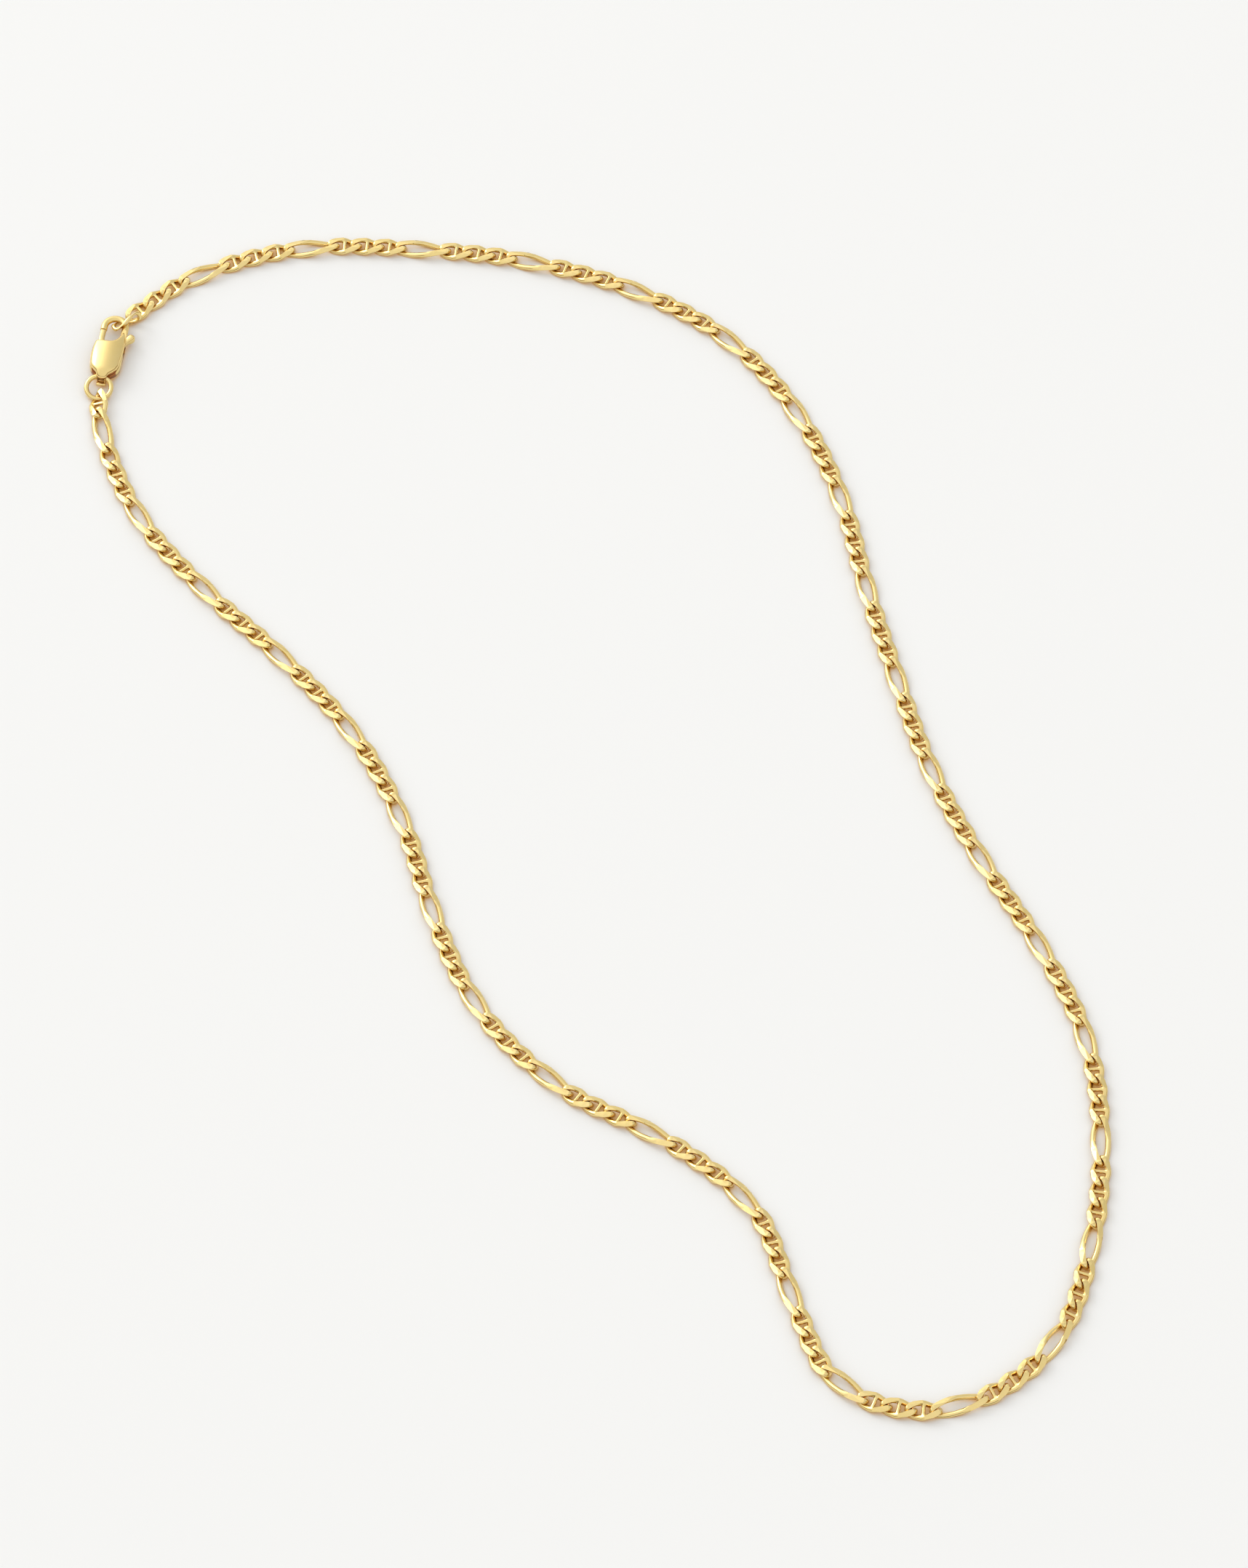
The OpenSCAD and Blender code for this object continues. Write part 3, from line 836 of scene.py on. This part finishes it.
# A cheek: a patch stretched between its four sides is its crown, rounded by its distance from the
# outline, and the same patch laid flat is its inner face; the wall between them closes it
def cheekSurface(k):
    # Lines of the patch crowd towards its sides, where the edge is rounded
    even = [np.linspace(0, 1, k[name]) for name in ("columns", "rows")]
    s, t = (e + ((1 - np.cos(np.pi * e)) / 2 - e) * k["crowding"] for e in even)
    bottom, top = (alongSide(k, side, s)[None] for side in ("bottom", "top"))
    left, right = (alongSide(k, side, t)[:, None] for side in ("left", "right"))
    s, t = s[None, :, None], t[:, None, None]
    patch = (1 - t) * bottom + t * top + (1 - s) * left + s * right
    patch = patch - (1 - s) * (1 - t) * left[0] - s * (1 - t) * right[0] - (1 - s) * t * left[-1] - s * t * right[-1]
    flat = patch.reshape(-1, 2)
    inside = np.minimum(distanceTo(rimOf(patch), flat), k["edgeRound"])
    drop = k["edgeRound"] - np.sqrt(k["edgeRound"] ** 2 - (k["edgeRound"] - inside) ** 2)
    height = pillowTop(k, flat[:, 0], flat[:, 1]) - drop
    count, cols = len(flat), k["columns"]
    crown = np.column_stack([flat, height])
    inner = np.column_stack([flat, np.full(count, k["roomHalf"])])
    sheet = gridFaces(k["rows"], cols, closeRows=False, closeCols=False)
    rim = rimOf(np.arange(count).reshape(k["rows"], cols))
    wall = np.stack([rim, np.roll(rim, -1), np.roll(rim, -1) + count, rim + count], axis=1)
    return np.vstack([crown, inner]), np.vstack([sheet, sheet[:, ::-1] + count, wall])


# Web between the cheeks: a full oval, rounder at the ring end, whose upper rim leans in
def webSurface(k):
    sides = k["sides"]
    turn = np.arange(sides) / sides * 2 * np.pi
    c, s = np.cos(turn), np.sin(turn)
    power = np.where(s < 0, *k["powers"])
    u = k["half"] * full(c, power)
    v = np.where(s < 0, k["down"], k["up"]) * full(s, power)
    x, y = k["middle"]
    return np.array([np.column_stack([x + u * a, y + v * b, np.full(sides, w)]) for a, b, w in k["rows"]])


# A tube along a path; sections are ellipses of the given half width and half height, with flat ends
def tubeSurface(path, halfWidth, halfHeight, sides):
    path = np.array(path, dtype=float)
    along = unit(np.gradient(path, axis=0))
    up = np.broadcast_to((0.0, 0.0, 1.0), along.shape)
    out = unit(np.cross(along, up))
    turn = np.arange(sides)[None, :, None] / sides * 2 * np.pi
    reachOut = np.asarray(halfWidth, dtype=float).reshape(-1, 1, 1) * np.cos(turn)
    reachUp = np.asarray(halfHeight, dtype=float).reshape(-1, 1, 1) * np.sin(turn)
    rows = path[:, None] + reachOut * out[:, None] + reachUp * up[:, None]
    ends = [np.broadcast_to(path[i], rows[i].shape)[None] for i in (0, -1)]
    return np.concatenate([ends[0], rows, ends[1]])


# Hook: a round wire from the horn, round the top and down to its tip
def hookPath(k):
    u, v = k["hookMiddle"]
    radius, rootRows, tipRows = k["hookRadius"], k["rootRows"], k["tipRows"]
    turn = np.linspace(0, np.pi, k["hookRows"])
    bend = np.column_stack([u + radius * np.cos(turn), v + radius * np.sin(turn)])
    root = np.column_stack([np.full(rootRows, u + radius), np.linspace(k["hookFrom"], v, rootRows + 1)[:-1]])
    tip = np.column_stack([np.full(tipRows, u - radius), np.linspace(v, k["tip"], tipRows + 1)[1:]])
    path = np.vstack([root, bend, tip])
    return np.column_stack([path, np.zeros(len(path))])


def joinGrids(grids):
    verts, faces, start = [], [], 0
    for grid in grids:
        faces.append(gridFaces(grid.shape[0], grid.shape[1], closeRows=False) + start)
        verts.append(grid.reshape(-1, 3))
        start += grid.shape[0] * grid.shape[1]
    return np.vstack(verts), np.vstack(faces)


def makeClaspBody(k):
    hook = hookPath(k)
    wide, high = (np.full(len(hook), k[side]) for side in ("hookHalfWidth", "hookHalfHeight"))
    verts, faces = joinGrids([
        webSurface(k["web"]),
        prismSurface(k, k["lip"], k["lipSides"]),
        prismSurface(k, k["wall"], k["wallSides"]),
        tubeSurface(hook, wide, high, k["hookSides"]),
    ])
    cheekVerts, cheekFaces = cheekSurface(k)
    count, start = len(cheekVerts), len(verts)
    verts = np.vstack([verts, cheekVerts, cheekVerts * (1, 1, -1)])
    faces = np.vstack([faces, cheekFaces[:, ::-1] + start, cheekFaces + start + count])
    piece = addSurface("claspBody", claspToWorld(k, verts), faces, "necklace", claspGold)
    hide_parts("clasp_body")
    # The hollow at the ring end as a dark sheet of painted shade
    verts, faces = joinGrids([webSurface(k["hollow"])])
    addSurface("claspHollowShade", claspToWorld(k, verts), faces, "necklace", paintedShadeGold)


makeClaspBody(clasp)
print("clasp body made")

# Lever: columns u, v, half width and half height of its bar, from the gate's tip past the pin to the tab
lever = {
    "bar": [
        (-1.2, 8.4, 0.34, 0.30), (-1.2, 8.25, 0.38, 0.38), (-1.22, 7.6, 0.39, 0.40), (-1.22, 6.9, 0.40, 0.40),
        (-1.05, 6.1, 0.42, 0.40), (-0.55, 5.1, 0.55, 0.40), (0.2, 4.5, 0.75, 0.40), (1.0, 5.0, 0.62, 0.40),
        (1.7, 6.1, 0.45, 0.40), (2.2, 6.85, 0.42, 0.45), (2.6, 7.3, 0.50, 0.56), (2.9, 7.62, 0.48, 0.56),
        (3.08, 7.82, 0.26, 0.34),
    ],
    "steps": 8,
    "sides": 36,
    "squareness": 3.2,
}


# A bar along a smooth path; its section is a full oval, so that faces are flat and edges round
def makeLever(k, body):
    run = walkThrough(k["bar"], k["steps"])
    path = np.column_stack([run[:, :2], np.zeros(len(run))])
    along = unit(np.gradient(path, axis=0))
    out = np.cross(along, (0, 0, 1))
    turn = np.arange(k["sides"])[None, :] / k["sides"] * 2 * np.pi
    c, s = full(np.cos(turn), k["squareness"]), full(np.sin(turn), k["squareness"])
    rows = (
        path[:, None]
        + run[:, 2, None, None] * c[..., None] * out[:, None]
        + run[:, 3, None, None] * s[..., None] * np.array((0, 0, 1.0))
    )
    ends = [np.broadcast_to(path[i], rows[i].shape)[None] for i in (0, -1)]
    verts, faces = joinGrids([np.concatenate([ends[0], rows, ends[1]])])
    piece = addSurface("claspLever", claspToWorld(body, verts), faces, "lever", claspGold)
    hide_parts("clasp_lever")


makeLever(lever, clasp)
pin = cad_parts["lever_pin"]
pin.data.materials.clear()
pin.data.materials.append(claspGold)
print("lever made")

scene = bpy.context.scene
scene.view_settings.view_transform = "Standard"
